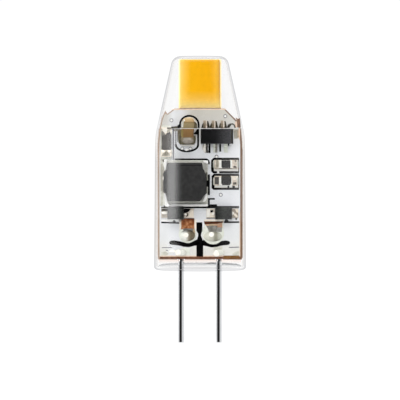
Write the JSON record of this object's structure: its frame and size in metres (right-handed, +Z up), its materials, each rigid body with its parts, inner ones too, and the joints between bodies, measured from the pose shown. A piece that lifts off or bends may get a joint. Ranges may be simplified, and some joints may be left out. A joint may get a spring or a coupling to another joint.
{
  "type": "bi-pin led bulb",
  "caption": "Small clear capsule LED bulb: tapered clear cap over a white driver board with a yellow LED panel, and straight contact pins below.",
  "frame": {"origin": "midway between the two pin tips, at the lowest point of the bulb", "axes": "+Z up along the bulb's axis from the pin tips to the crown, +X through the two pins, and the side of the board with the chip and choke faces -Y"},
  "size_m": [0.0098, 0.0098, 0.0302],
  "materials": {
    "clear_plastic": "clear, polished moulding",
    "plated_pin": "bright nickel plate",
    "board": "white solder mask, tan laminate edges",
    "ceramic_plate": "matt alumina",
    "phosphor": "cast silicone with phosphor, satin",
    "led_die": "polished die",
    "solder": "bright solder",
    "brown_ceramic": "fired ceramic, satin",
    "tin": "matt tin plate",
    "black_epoxy": "moulded epoxy, matt",
    "grey_ceramic": "matt",
    "ferrite": "ground ferrite, satin",
    "choke_frame": "pale moulded frame",
    "copper": "bare copper",
    "white_ceramic": "matt alumina"
  },
  "bodies": {
    "root": {"clear_cap": "clear_plastic", "base_plug": "clear_plastic", "pin_left": "plated_pin", "pin_right": "plated_pin", "circuit_board": "board", "led_plate": "ceramic_plate", "led_phosphor_front": "phosphor", "led_phosphor_back": "phosphor", "led_chips": "led_die", "led_solder": "solder", "capacitor_body": "brown_ceramic", "capacitor_terminals": "tin", "driver_ic": "black_epoxy", "driver_ic_leads": "tin", "input_resistor_body": "grey_ceramic", "input_resistor_terminals": "tin", "inductor_core": "ferrite", "inductor_base": "choke_frame", "inductor_winding": "copper", "inductor_resin": "ferrite", "resistor_upper": "white_ceramic", "resistor_lower": "white_ceramic", "resistor_terminals": "tin", "resistor_coats": "black_epoxy", "diode_left": "black_epoxy", "diode_right": "black_epoxy", "diode_leads": "tin", "rear_diodes": "black_epoxy", "rear_diode_leads": "tin", "rear_capacitor": "brown_ceramic", "rear_capacitor_terminals": "tin", "copper_pads": "copper", "pad_solder": "solder", "pin_solder": "solder"}
  },
  "joints": []
}
